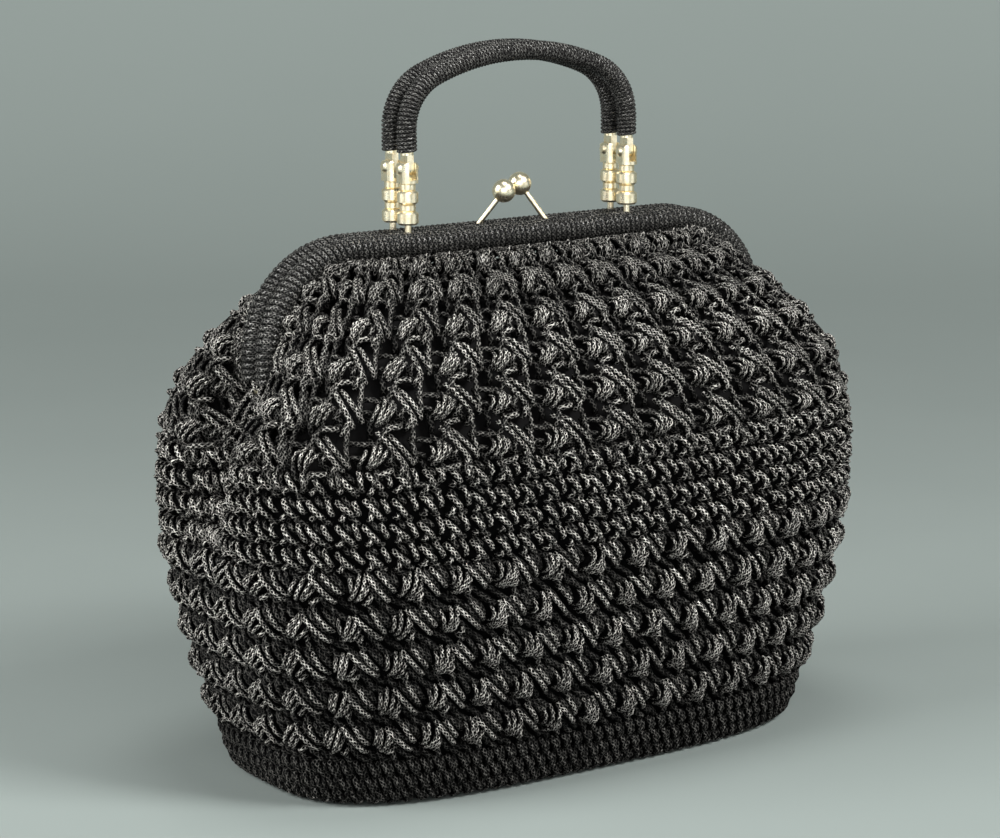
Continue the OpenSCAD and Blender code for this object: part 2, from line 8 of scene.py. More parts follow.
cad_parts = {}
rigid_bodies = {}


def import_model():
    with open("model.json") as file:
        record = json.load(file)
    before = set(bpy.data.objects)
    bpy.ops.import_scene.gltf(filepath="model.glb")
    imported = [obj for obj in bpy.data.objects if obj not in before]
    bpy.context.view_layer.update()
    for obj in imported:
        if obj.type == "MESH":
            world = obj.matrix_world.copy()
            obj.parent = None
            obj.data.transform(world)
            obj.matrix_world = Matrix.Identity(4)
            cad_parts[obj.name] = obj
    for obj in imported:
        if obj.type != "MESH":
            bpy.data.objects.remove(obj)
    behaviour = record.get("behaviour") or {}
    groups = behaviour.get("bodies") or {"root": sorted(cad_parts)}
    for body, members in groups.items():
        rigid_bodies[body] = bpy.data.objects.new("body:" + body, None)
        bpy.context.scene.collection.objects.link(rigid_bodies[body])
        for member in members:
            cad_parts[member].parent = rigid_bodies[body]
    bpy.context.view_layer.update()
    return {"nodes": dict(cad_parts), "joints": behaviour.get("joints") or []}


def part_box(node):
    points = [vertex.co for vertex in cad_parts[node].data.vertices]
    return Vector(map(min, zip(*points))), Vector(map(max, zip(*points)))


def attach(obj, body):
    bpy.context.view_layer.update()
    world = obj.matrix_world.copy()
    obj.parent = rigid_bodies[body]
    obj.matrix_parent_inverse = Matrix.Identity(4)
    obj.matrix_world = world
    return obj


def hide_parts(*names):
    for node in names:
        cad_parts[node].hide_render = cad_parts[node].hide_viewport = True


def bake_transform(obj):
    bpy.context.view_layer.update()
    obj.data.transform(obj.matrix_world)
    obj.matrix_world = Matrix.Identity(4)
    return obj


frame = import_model()

# Crocheted base
# An oval worked in rounds of short stitches from one glossy black braided cord.
# The sides are worked straight on from its last round.
base_hw = 0.118
base_hd = 0.060
base_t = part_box("crochet_base")[1].z
plan_power = 3.3
cord_r = 0.0013
plait_l = 0.0019
round_step = 0.0050
base_stitch_l = 0.0062
floor_gap = 0.0002


def sharpen(c):
    """Cosine or sine of a boxier oval, a superellipse."""
    return np.sign(c) * np.abs(c) ** (2 / plan_power)


def oval(t, half_w, half_d):
    """Points of an oval loop at the angles t."""
    return np.stack([half_w * sharpen(np.cos(t)), half_d * sharpen(np.sin(t))], -1)


def lengths_along(line):
    """Length from the start of a line to each of its points."""
    return np.concatenate([[0], np.cumsum(np.linalg.norm(np.diff(line, axis=0), axis=1))])


def even_angles(half_w, half_d):
    """Lengths along an oval loop and the angles that they belong to."""
    table_size = 80001
    t = np.linspace(0, 2 * math.pi, table_size)
    return lengths_along(oval(t, half_w, half_d)), t


def mesh_object(name, points, faces, corner_uv=None):
    """A new object at the origin, with its faces and, if given, a UV for each face corner."""
    mesh = bpy.data.meshes.new(name)
    mesh.from_pydata([tuple(p) for p in points], [], [tuple(f) for f in faces])
    if corner_uv is not None:
        layer = mesh.uv_layers.new(name="UVMap")
        layer.data.foreach_set("uv", np.asarray(corner_uv, np.float32).ravel())
    mesh.shade_smooth()
    mesh.update()
    obj = bpy.data.objects.new(name, mesh)
    bpy.context.scene.collection.objects.link(obj)
    return obj


def tube(name, line, across, radius, sides, flat, plait):
    """A closed tube along a line. across is the direction that its rings are level with."""
    line = np.asarray(line, float)
    way = np.gradient(line, axis=0)
    way /= np.linalg.norm(way, axis=1)[:, None]
    out = np.cross(way, across)
    out /= np.linalg.norm(out, axis=1)[:, None]
    level = np.cross(out, way)
    turn = np.arange(sides) * 2 * math.pi / sides
    ring = level[:, None] * np.cos(turn)[:, None] + flat * out[:, None] * np.sin(turn)[:, None]
    points = (line[:, None] + radius * ring).reshape(-1, 3)
    plaits = lengths_along(line) / plait
    faces = []
    uv = []
    for i in range(len(line) - 1):
        for k in range(sides):
            e = (k + 1) % sides
            faces.append((i * sides + k, i * sides + e, (i + 1) * sides + e, (i + 1) * sides + k))
            uv += [(plaits[i], k / sides), (plaits[i], (k + 1) / sides)]
            uv += [(plaits[i + 1], (k + 1) / sides), (plaits[i + 1], k / sides)]
    last = (len(line) - 1) * sides
    faces.append(tuple(range(sides - 1, -1, -1)))
    faces.append(tuple(range(last, last + sides)))
    uv += [(0, k / sides) for k in range(2 * sides)]
    return mesh_object(name, points, faces, uv)


def bowed_strand(name, length, bow, dive, fullness, radius, segments):
    """A short piece of cord that comes up, arches over and goes down again."""
    sides = 6
    flatness = 0.88
    s = np.sin(np.linspace(-1, 1, segments + 1) * math.pi / 2)
    z = dive + (bow - dive) * (1 - np.abs(s) ** fullness)
    line = np.stack([s * length / 2, 0 * s, z], -1)
    return tube(name, line, (0, 1, 0), radius, sides, flatness, plait_l)


strand_lengths = [0.010, 0.008, 0.0042, 0.0052, 0.016]
strand_shapes = bpy.data.collections.new("strand_shapes")
for strand in (
    bowed_strand("strand_0_flat", strand_lengths[0], 0.0010, -0.0018, 3.2, cord_r, 5),
    bowed_strand("strand_1_puff", strand_lengths[1], 0.0024, -0.0020, 2.6, cord_r, 6),
    bowed_strand("strand_2_knot", strand_lengths[2], 0.0015, -0.0012, 2.4, cord_r, 4),
    bowed_strand("strand_3_short", strand_lengths[3], 0.0006, -0.0012, 2.4, cord_r * 0.96, 4),
    bowed_strand("strand_4_long", strand_lengths[4], 0.0011, -0.0020, 4.0, cord_r, 7),
):
    bpy.context.scene.collection.objects.unlink(strand)
    strand_shapes.objects.link(strand)
FLAT, PUFF, KNOT, SHORT, LONG = range(5)


def node(tree, kind, inputs=(), **settings):
    """A new node with its settings, its inputs being values or the outputs of other nodes."""
    made = tree.nodes.new(kind)
    for key, value in settings.items():
        setattr(made, key, value)
    for key, value in dict(inputs).items():
        if isinstance(value, bpy.types.NodeSocket):
            tree.links.new(value, made.inputs[key])
        else:
            made.inputs[key].default_value = value
    return made


def socket_id(tree, name):
    """Identifier of a tree's input by its name."""
    return next(i.identifier for i in tree.interface.items_tree
                if i.item_type == "SOCKET" and i.in_out == "INPUT" and i.name == name)


def laying_tree():
    """Sets a shape on each point, turned and stretched as the point's attributes say. The cord's
    pattern is set to its true length again."""
    tree = bpy.data.node_groups.new("lay_cord", "GeometryNodeTree")
    face = tree.interface
    face.new_socket("Points", in_out="INPUT", socket_type="NodeSocketGeometry")
    face.new_socket("Shapes", in_out="INPUT", socket_type="NodeSocketCollection")
    face.new_socket("Cord", in_out="INPUT", socket_type="NodeSocketMaterial")
    face.new_socket("Laid cord", in_out="OUTPUT", socket_type="NodeSocketGeometry")
    given = node(tree, "NodeGroupInput").outputs

    def told(name, kind="FLOAT_VECTOR"):
        """What an attribute of the geometry says."""
        reader = node(tree, "GeometryNodeInputNamedAttribute", {"Name": name}, data_type=kind)
        return reader.outputs["Attribute"]

    shapes = node(tree, "GeometryNodeCollectionInfo", {
        "Collection": given["Shapes"], "Separate Children": True, "Reset Children": True})
    rotation = node(tree, "FunctionNodeEulerToRotation", {"Euler": told("turn")})
    laid = node(tree, "GeometryNodeInstanceOnPoints", {
        "Points": given["Points"], "Instance": shapes.outputs["Instances"], "Pick Instance": True,
        "Instance Index": told("shape", "INT"), "Rotation": rotation.outputs["Rotation"],
        "Scale": told("stretch")})
    real = node(tree, "GeometryNodeRealizeInstances", {"Geometry": laid.outputs["Instances"]})
    true_uv = node(tree, "ShaderNodeVectorMath", {
        0: told("UVMap"), 1: told("cord_scale"), 2: told("cord_shift")}, operation="MULTIPLY_ADD")
    mapped = node(tree, "GeometryNodeStoreNamedAttribute", {
        "Geometry": real.outputs["Geometry"], "Name": "UVMap", "Value": true_uv.outputs["Vector"]},
        data_type="FLOAT2", domain="CORNER")
    dressed = node(tree, "GeometryNodeSetMaterial", {
        "Geometry": mapped.outputs["Geometry"], "Material": given["Cord"]})
    node(tree, "NodeGroupOutput", {"Laid cord": dressed.outputs["Geometry"]})
    return tree


lay_cord = laying_tree()
chance = np.random.default_rng(7)


def lay(name, batches, shapes, lengths, material):
    """One mesh of shapes laid along many short ways, each batch of them being (starts, ends,
    normals, shape, width, painted light and gloss), the last running from painted shade to painted light."""
    starts = np.concatenate([b[0] for b in batches])
    ends = np.concatenate([b[1] for b in batches])
    normals = np.concatenate([b[2] for b in batches])
    shape = np.concatenate([np.full(len(b[0]), b[3]) for b in batches])
    width = np.concatenate([np.full(len(b[0]), b[4]) for b in batches])
    painted_light_and_gloss = np.concatenate([np.full(len(b[0]), b[5]) for b in batches])
    way = ends - starts
    reach = np.linalg.norm(way, axis=1)
    ax = way / reach[:, None]
    az = normals - (normals * ax).sum(1)[:, None] * ax
    az /= np.linalg.norm(az, axis=1)[:, None]
    ay = np.cross(az, ax)
    turn = np.stack([np.arctan2(ay[:, 2], az[:, 2]), np.arcsin(np.clip(-ax[:, 2], -1, 1)),
                     np.arctan2(ax[:, 1], ax[:, 0])], -1)
    along = reach / np.asarray(lengths)[shape]
    ones = np.ones(len(shape))
    obj = mesh_object(name, (starts + ends) / 2, [])
    for key, kind, value in (
        ("shape", "INT", shape),
        ("turn", "FLOAT_VECTOR", turn),
        ("stretch", "FLOAT_VECTOR", np.stack([along, width, ones], -1)),
        ("cord_scale", "FLOAT_VECTOR", np.stack([along, ones, ones], -1)),
        ("cord_shift", "FLOAT_VECTOR", np.stack([chance.random(len(shape)), 0 * ones, 0 * ones], -1)),
        ("painted_light_and_gloss", "FLOAT", painted_light_and_gloss),
    ):
        attribute = obj.data.attributes.new(key, kind, "POINT")
        field = "vector" if kind == "FLOAT_VECTOR" else "value"
        number = np.int32 if kind == "INT" else np.float32
        attribute.data.foreach_set(field, np.asarray(value, number).ravel())
    modifier = obj.modifiers.new("lay_cord", "NODES")
    modifier.node_group = lay_cord
    modifier[socket_id(lay_cord, "Shapes")] = shapes
    modifier[socket_id(lay_cord, "Cord")] = material
    graph = bpy.context.evaluated_depsgraph_get()
    made = bpy.data.meshes.new_from_object(
        obj.evaluated_get(graph), preserve_all_data_layers=True, depsgraph=graph)
    obj.modifiers.remove(modifier)
    obj.data = made
    made.name = name
    for key in ("shape", "turn", "stretch", "cord_scale", "cord_shift"):
        made.attributes.remove(made.attributes[key])
    made.shade_smooth()
    return obj


def reckon(tree, operation, *values):
    """Result of a reckoning with values or the outputs of other nodes."""
    return node(tree, "ShaderNodeMath", dict(enumerate(values)), operation=operation).outputs[0]


def braid_group():
    """Net of crossing plaits over a UV that runs along a cord (1 is one plait) and round it (0 to 1,
    its top being at a quarter), and a painted highlight on the cord's top that fades to painted shade on its
    flanks and underside."""
    tree = bpy.data.node_groups.new("cord_braid", "ShaderNodeTree")
    face = tree.interface
    face.new_socket("Cord UV", in_out="INPUT", socket_type="NodeSocketVector")
    face.new_socket("Plaits round", in_out="INPUT", socket_type="NodeSocketFloat")
    face.new_socket("Crest", in_out="OUTPUT", socket_type="NodeSocketFloat")
    face.new_socket("Worn top", in_out="OUTPUT", socket_type="NodeSocketFloat")
    given = node(tree, "NodeGroupInput").outputs
    part = node(tree, "ShaderNodeSeparateXYZ", {0: given["Cord UV"]}).outputs
    around = reckon(tree, "MULTIPLY", part["Y"], given["Plaits round"])
    flat_map = node(tree, "ShaderNodeCombineXYZ", {"X": part["X"], "Y": around})
    slack = node(tree, "ShaderNodeTexNoise", {"Vector": flat_map.outputs[0], "Scale": 1.1, "Detail": 1.0})
    loose = reckon(tree, "MULTIPLY", reckon(tree, "SUBTRACT", slack.outputs["Fac"], 0.5), 0.9)
    rising = reckon(tree, "ADD", reckon(tree, "ADD", part["X"], around), loose)
    falling = reckon(tree, "SUBTRACT", reckon(tree, "SUBTRACT", part["X"], around), loose)
    one_way = reckon(tree, "PINGPONG", rising, 0.5)
    other_way = reckon(tree, "PINGPONG", falling, 0.5)
    over = reckon(tree, "MAXIMUM", one_way, other_way)
    crest = node(tree, "ShaderNodeMapRange", {"Value": over, "From Min": 0.31, "From Max": 0.42},
                 interpolation_type="SMOOTHSTEP").outputs[0]
    # Painted light: the cord's top, where light from above falls, is made brighter, and its flanks and
    # underside get painted shade.
    height = reckon(tree, "SINE", reckon(tree, "MULTIPLY", part["Y"], 2 * math.pi))
    top = node(tree, "ShaderNodeMapRange", {"Value": height, "From Min": 0.0, "From Max": 0.9},
               interpolation_type="SMOOTHSTEP").outputs[0]
    node(tree, "NodeGroupOutput", {"Crest": crest, "Worn top": top})
    return tree


cord_braid = braid_group()


def new_material(name):
    """A new material, its node tree and its shader."""
    material = bpy.data.materials.new(name)
    material.use_nodes = True
    return material, material.node_tree, material.node_tree.nodes["Principled BSDF"]


def mixed(tree, factor, first, second):
    """Colour between two others, each a value or the output of another node."""
    mix = node(tree, "ShaderNodeMix", {"Factor": factor, "A": first, "B": second}, data_type="RGBA")
    return mix.outputs["Result"]


def emboss(tree, shader, height, strength, distance):
    """Gives a shader the relief of a height."""
    relief = node(tree, "ShaderNodeBump", {"Height": height, "Strength": strength, "Distance": distance})
    tree.links.new(relief.outputs["Normal"], shader.inputs["Normal"])


def cord_material(name, valley, crest, plaits, bump, lacquer):
    """Glossy braided cord. Its colour is painted light: painted shade between the plaits and a painted
    highlight on them, brightest on each strand's top and on strands given more painted light, with random
    patches that are duller. The same mask sets its gloss.
    """
    material, tree, shader = new_material(name)
    uv = node(tree, "ShaderNodeUVMap", uv_map="UVMap")
    braid = node(tree, "ShaderNodeGroup", node_tree=cord_braid)
    tree.links.new(uv.outputs["UV"], braid.inputs["Cord UV"])
    braid.inputs["Plaits round"].default_value = plaits
    place = node(tree, "ShaderNodeTexCoord")
    patches = node(tree, "ShaderNodeTexNoise", {
        "Vector": place.outputs["Object"], "Scale": 55.0, "Detail": 3.0, "Roughness": 0.6})
    specks = node(tree, "ShaderNodeTexNoise", {
        "Vector": place.outputs["Object"], "Scale": 900.0, "Detail": 2.0})
    # Painted glints: fine specks make the painted highlight on the plaits brighter in some places and dimmer
    # in others.
    lit = node(tree, "ShaderNodeMapRange", {
        "Value": specks.outputs["Fac"], "From Min": 0.42, "From Max": 0.58, "To Min": 0.15})
    shine = reckon(tree, "MULTIPLY", braid.outputs["Crest"], lit.outputs["Result"])
    dullness_and_shade = node(tree, "ShaderNodeMapRange", {
        "Value": patches.outputs["Fac"], "From Min": 0.3, "From Max": 0.7, "To Min": 0.55, "To Max": 1.0})
    # Each strand's share of painted light, low on sunk strands as painted shade. It also sets their gloss.
    painted_light_and_gloss = node(tree, "ShaderNodeAttribute", attribute_name="painted_light_and_gloss")
    shaded_and_dulled = reckon(tree, "MULTIPLY", dullness_and_shade.outputs["Result"], painted_light_and_gloss.outputs["Fac"])
    painted_top_light = reckon(tree, "MULTIPLY", shaded_and_dulled, braid.outputs["Worn top"])
    painted_glints_and_gloss = reckon(tree, "MULTIPLY", shine, painted_top_light)
    # The base colour runs from the valley's painted shade to the crest's painted highlight. Roughness and
    # coat follow the same mask as real gloss.
    tree.links.new(mixed(tree, painted_glints_and_gloss, (*valley, 1), (*crest, 1)), shader.inputs["Base Color"])
    rough = node(tree, "ShaderNodeMapRange", {"Value": painted_glints_and_gloss, "To Min": 0.8, "To Max": 0.32})
    tree.links.new(rough.outputs["Result"], shader.inputs["Roughness"])
    tree.links.new(painted_glints_and_gloss, shader.inputs["Coat Weight"])
    shader.inputs["Coat Roughness"].default_value = 0.22
    shader.inputs["Specular IOR Level"].default_value = lacquer
    emboss(tree, shader, braid.outputs["Crest"], bump, 0.0006)
    return material


# The crest colour is a painted highlight on the black cord. The valley colour is the cord's black, made
# darker still as painted shade between the plaits.
crochet_cord = cord_material("crochet_cord", (0.001, 0.001, 0.001), (0.95, 0.92, 0.84), 5.0, 1.0, 0.05)


def base_rounds():
    """Strands of the base's rounds, seen from below."""
    batches = []
    stitch_z = cord_r + 0.0006 + floor_gap
    reach = base_stitch_l * 0.42
    slant = 0.32
    inset = round_step / 2
    while base_hd - inset > round_step / 2:
        lengths, angles = even_angles(base_hw - inset, base_hd - inset)
        count = max(8, round(lengths[-1] / base_stitch_l))
        marks = (np.arange(count) + 0.5 * (len(batches) % 2)) / count * lengths[-1]
        ends = []
        for shift, widen in ((-reach, -slant), (reach, slant)):
            t = np.interp((marks + shift) % lengths[-1], lengths, angles)
            ring = oval(t, base_hw - inset + widen * round_step, base_hd - inset + widen * round_step)
            ends.append(np.column_stack([ring, np.full(count, stitch_z)]))
        # The base's strands get half the painted light.
        batches.append((ends[0], ends[1], np.tile((0.0, 0.0, -1.0), (count, 1)), SHORT, 1.0, 0.5))
        inset += round_step
    return batches


base_crochet = lay("crochet_base_rounds", base_rounds(), strand_shapes, strand_lengths, crochet_cord)


def join(piece, *others):
    """Joins other new objects of the same material into a piece, which keeps its name."""
    with bpy.context.temp_override(
        active_object=piece, selected_editable_objects=[piece, *others], selected_objects=[piece, *others]
    ):
        bpy.ops.object.join()
    return piece


def base_angles(count):
    """Angles of points that lie evenly round the base's outline."""
    lengths, angles = even_angles(base_hw, base_hd)
    return np.interp(np.arange(count) / count * lengths[-1], lengths, angles)


def base_backing():
    """The inner loops of the base's rounds, a thin plate above the stitches in the near-black valley colour,
    which is partly painted shade.
    """
    count = 90
    inset = 0.0035
    low_z = 0.0021
    ring = oval(base_angles(count), base_hw - inset, base_hd - inset)
    low = np.column_stack([ring, np.full(count, low_z)])
    points = np.concatenate([low, low + (0, 0, base_t - low_z)])
    faces = [tuple(range(count - 1, -1, -1)), tuple(range(count, 2 * count))]
    for j in range(count):
        e = (j + 1) % count
        faces.append((j, e, count + e, count + j))
    uv = [(0.0, 0.0) for f in faces for _ in f]
    plate = mesh_object("base_backing", points, faces, uv)
    plate.data.materials.append(crochet_cord)
    plate.data.shade_flat()
    return plate


join(base_crochet, base_backing())
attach(base_crochet, "root")
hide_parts("crochet_base")

# Crocheted sides
# The same cord, worked up in rounds: plain rows at the foot, rows of puffs with slanting
# strands, and a plain band at the widest loop. The frame's legs draw the two ends in.
hinge_z = next(j for j in frame["joints"] if j["name"] == "frame_hinge")["pos_m"][2]
wrap_low, wrap_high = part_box("front_frame_wrap")
wrap_r = (wrap_high.y - wrap_low.y) / 2
frame_y = -(wrap_low.y + wrap_high.y) / 2
frame_hw = wrap_high.x - wrap_r
rail_z = wrap_high.z - wrap_r
shoulder_r = 0.039
rail_hl = frame_hw - shoulder_r
shoulder_z = rail_z - shoulder_r
edge_step = (wrap_r + 0.0003) * math.sqrt(0.5)
edge_y = frame_y + edge_step
edge_top = rail_z - edge_step
body_hw = 0.142
body_hd = 0.076
widest_z = hinge_z - 0.035
split_z = hinge_z - 0.01085
notch_h = 0.006
foot_r = 0.007
gather_low = 0.082
gather_d = 0.014


def smooth(x):
    """Rises from 0 to 1 with no kink."""
    c = np.clip(x, 0, 1)
    return c * c * (3 - 2 * c)


def foot_inset(z):
    """How far the rounded bottom edge lies in at a height."""
    return foot_r - np.sqrt(foot_r ** 2 - np.clip(foot_r - z, 0, foot_r) ** 2)


def above_widest(z):
    """Share of the way from the widest loop to the top."""
    return np.clip((z - widest_z) / (edge_top - widest_z), 0, 1)


def half_width(z):
    """Half width of the body's loop at a height, before its ends are drawn in."""
    swell = np.sin(np.clip(z / widest_z, 0, 1) * math.pi / 2) ** 1.3
    low = base_hw - foot_inset(z) + (body_hw - base_hw) * swell
    high = rail_hl + (body_hw - rail_hl) * (1 - above_widest(z) ** 2)
    return np.where(z < widest_z, low, high)


def half_depth(z):
    """Half depth of the body's loop at a height."""
    swell = np.sin(np.clip(z / widest_z, 0, 1) * math.pi / 2)
    low = base_hd - foot_inset(z) + (body_hd - base_hd) * swell
    high = edge_y + (body_hd - edge_y) * np.sqrt(1 - above_widest(z) ** 2)
    return np.where(z < widest_z, low, high)


def edge_x(z):
    """Half width of the frame's inner edge at a height."""
    inner = shoulder_r - edge_step
    return rail_hl + np.sqrt(inner ** 2 - np.clip(z - shoulder_z, 0, inner) ** 2)


def gather(z):
    """How far the frame's legs draw the ends in at a height."""
    most = half_width(np.float64(split_z)) - (frame_hw - edge_step)
    drawn = most * smooth((z - gather_low) / (split_z - gather_low))
    return np.where(z < split_z, drawn, half_width(z) - edge_x(z))


def skin(t, z, side):
    """Points on the body's plain surface. side is 1 for the back half, -1 for the front half and 0
    for whole loops."""
    half_d = half_depth(z)
    round_end = np.abs(sharpen(np.sin(t)))
    drawn = gather(z) * np.exp(-(body_hd * round_end / gather_d) ** 2)
    x = half_width(z) * sharpen(np.cos(t)) - np.sign(np.cos(t)) * drawn
    lip = edge_y * smooth((z - split_z) / notch_h)
    parted = side * (lip + half_d * round_end * (1 - lip / half_d))
    y = np.where((z > split_z) & (side != 0), parted, half_d * sharpen(np.sin(t)))
    return np.stack([x, y, z], -1)


def loop_ends(side):
    """Least and greatest angle of a side. Whole loops may run on past a turn."""
    return {0: (-9.0, 18.0), 1: (0.0, math.pi), -1: (math.pi, 2 * math.pi)}[side]


def facing(t, z, side):
    """Outward directions of the plain surface, found from small steps along it and up it."""
    turn_step = 0.01
    rise_step = 0.0005
    low, high = loop_ends(side)
    level = np.minimum(z, edge_top - 2 * rise_step)
    ahead = skin(np.minimum(t + turn_step, high), level, side)
    along = ahead - skin(np.maximum(t - turn_step, low), level, side)
    up = skin(t, level + rise_step, side) - skin(t, level - rise_step, side)
    n = np.cross(along, up)
    return n / np.linalg.norm(n, axis=-1)[..., None]


loop_lengths, loop_angles = even_angles(body_hw, body_hd)


def loop_angle(share, side):
    """Loop angles at shares of the widest loop, kept to the side's half."""
    low, high = loop_ends(side)
    turns = np.floor(share)
    t = np.interp((share - turns) * loop_lengths[-1], loop_lengths, loop_angles) + turns * 2 * math.pi
    return np.clip(t, low, high)


def rows_of(plan, count, levels, rows, side=0, drift=0.0, shares=(0.0, 1.0), sink=0.0, dullness_and_shade=1.0, wobble=0.02):
    """Strands of rows of like stitches. The plan gives each strand of a stitch as (shape, width, from
    across, from up, to across, to up, lift, painted light and gloss), across and up being shares of the
    stitch's width and of its row. Each strand's painted light is multiplied by the rows' painted shade."""
    columns = np.arange(round(shares[0] * count), round(shares[1] * count))
    batches = []
    for shape, width, a0, b0, a1, b1, lift, painted_light_and_gloss in plan:
        for row in rows:
            ends = []
            faces = []
            loose = chance.normal(0, wobble, (2, 2, len(columns)))
            for (a, b), slip in zip(((a0, b0), (a1, b1)), loose):
                share = (columns + drift * row + a + slip[0]) / count
                level = np.interp(row + b + slip[1], np.arange(len(levels)), levels)
                t = loop_angle(share, side)
                face = facing(t, level, side)
                ends.append(skin(t, level, side) + face * (lift - sink))
                faces.append(face)
            batches.append((ends[0], ends[1], faces[0] + faces[1], shape, width, painted_light_and_gloss * dullness_and_shade))
    return batches


foot_levels = np.array([0.0016, 0.0066, 0.0128, 0.0190])
puff_levels = np.linspace(0.0190, 0.0955, 6)
band_levels = np.linspace(0.0955, 0.1330, 5)

# The last column of each plan is painted light: strands that lie deeper get painted shade and strands that
# stand out get painted light. It also sets their gloss.
foot_plan = [
    (SHORT, 1.0, 0.15, 0.98, 0.62, 0.05, 0.0004, 0.40),
    (SHORT, 0.9, 0.70, 0.90, 0.88, 0.10, -0.0004, 0.25),
]
puff_plan = [
    (LONG, 0.9, 0.00, 0.97, 0.44, 0.32, 0.0016, 1.0),
    (LONG, 0.9, 0.08, 1.02, 0.50, 0.42, -0.0004, 0.14),
    (FLAT, 0.9, 0.27, 1.02, 0.53, 0.50, 0.0010, 0.9),
    (FLAT, 0.9, 0.37, 1.10, 0.64, 0.60, -0.0006, 0.15),
    (FLAT, 0.9, 0.50, 1.04, 0.66, 0.54, -0.0010, 0.12),
    (PUFF, 0.7, 0.67, 0.48, 0.73, 0.86, 0.0006, 0.75),
    (PUFF, 0.7, 0.70, 0.41, 0.87, 0.92, 0.0014, 0.95),
    (PUFF, 0.7, 0.75, 0.36, 1.00, 0.86, 0.0015, 1.0),
    (PUFF, 0.7, 0.80, 0.31, 1.09, 0.70, 0.0008, 0.8),
    (KNOT, 0.9, 0.94, 0.28, 1.08, 0.42, 0.0010, 0.8),
    (FLAT, 1.0, 0.44, 0.36, 0.70, 0.10, -0.0012, 0.08),
    (FLAT, 1.0, 0.08, 0.56, 0.36, 0.10, -0.0010, 0.14),
    (FLAT, 1.0, 0.60, 1.08, 0.90, 0.82, -0.0012, 0.12),
    (FLAT, 1.0, 0.98, 0.30, 1.10, -0.06, -0.0006, 0.25),
    (FLAT, 1.0, 0.26, 0.22, 0.50, -0.08, -0.0010, 0.14),
    (FLAT, 1.0, 0.64, 0.26, 0.88, -0.06, -0.0010, 0.12),
]
band_plan = [
    (FLAT, 1.0, 0.06, 0.86, 0.62, 0.24, 0.0008, 0.95),
    (FLAT, 0.9, 0.68, 0.96, 0.90, 0.38, 0.0008, 0.95),
    (KNOT, 0.9, 0.12, 0.14, 0.27, 0.38, 0.0006, 0.85),
    (SHORT, 1.0, 0.52, 0.20, 0.84, 0.02, -0.0010, 0.25),
    (FLAT, 0.9, 0.30, 1.00, 0.60, 0.62, -0.0012, 0.2),
]
foot_count = 128
puff_count = 38
band_count = 73
puff_drift = 0.22

# The foot rows and the two lowest puff rows get painted shade, the foot rows most.
lower_crochet = lay(
    "crochet_lower_rows",
    rows_of(foot_plan, foot_count, foot_levels, range(3), drift=0.3, dullness_and_shade=0.42)
    + rows_of(puff_plan, puff_count, puff_levels, [0, 1], drift=puff_drift, dullness_and_shade=0.8, wobble=0.03),
    strand_shapes, strand_lengths, crochet_cord)
puff_crochet = lay(
    "crochet_puff_rows",
    rows_of(puff_plan, puff_count, puff_levels, [2, 3, 4], drift=puff_drift, wobble=0.03),
    strand_shapes, strand_lengths, crochet_cord)
band_rows = rows_of(band_plan, band_count, band_levels, range(4), drift=0.03, wobble=0.04)
# The closer stitches at the drawn-in ends get painted shade.
for drawn_end in ((-0.02, 0.02), (0.48, 0.52)):
    band_rows += rows_of(
        band_plan, 2 * band_count, band_levels, range(4), drift=0.03, shares=drawn_end, dullness_and_shade=0.7)
band_crochet = lay("crochet_plain_band", band_rows, strand_shapes, strand_lengths, crochet_cord)


def body_wall(name, shares, levels, side, outer, inner):
    """A closed thin wall of the body's form between two depths below its plain surface."""
    whole = side == 0
    t = loop_angle(shares, side)
    grid_t, grid_z = np.meshgrid(t, levels)
    face = facing(grid_t, grid_z, side)
    plain = skin(grid_t, grid_z, side)
    points = np.concatenate([(plain - face * d).reshape(-1, 3) for d in (outer, inner)])
    rows, columns = grid_t.shape
    size = rows * columns

    def at(j, k, layer):
        return layer * size + k * columns + j % columns

    faces = []
    spans = range(columns if whole else columns - 1)
    for k in range(rows - 1):
        for j in spans:
            faces.append((at(j, k, 0), at(j + 1, k, 0), at(j + 1, k + 1, 0), at(j, k + 1, 0)))
            faces.append((at(j, k + 1, 1), at(j + 1, k + 1, 1), at(j + 1, k, 1), at(j, k, 1)))
    for j in spans:
        faces.append((at(j, 0, 1), at(j + 1, 0, 1), at(j + 1, 0, 0), at(j, 0, 0)))
        top = rows - 1
        faces.append((at(j, top, 0), at(j + 1, top, 0), at(j + 1, top, 1), at(j, top, 1)))
    if not whole:
        for k in range(rows - 1):
            last = columns - 1
            faces.append((at(0, k, 1), at(0, k, 0), at(0, k + 1, 0), at(0, k + 1, 1)))
            faces.append((at(last, k, 0), at(last, k, 1), at(last, k + 1, 1), at(last, k + 1, 0)))
    return mesh_object(name, points, faces, [(0.0, 0.0) for f in faces for _ in f])


backing_levels = np.concatenate([[0.0020, 0.0045], np.linspace(0.0080, 0.1330, 29)])
backing_depths = (0.0024, 0.0038)
loop_shares = np.arange(120) / 120
# The inner loops of the sides: a thin wall behind the stitches in the near-black valley colour, which is
# partly painted shade.
backing = body_wall("backing", loop_shares, backing_levels, 0, *backing_depths)
backing.data.materials.append(crochet_cord)
join(band_crochet, backing)
for piece in (lower_crochet, puff_crochet, band_crochet):
    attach(piece, "root")
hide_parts("crochet_sides")

# Openwork of the front and the back
# Rounds of puffs with long slanting strands and open gaps between them. Above the hinge
# each half is sewn to its own half frame.
open_levels = np.array([0.1262, 0.1421, 0.1576, 0.1714, 0.1836, 0.1942, 0.1988, edge_top])
open_count = 30
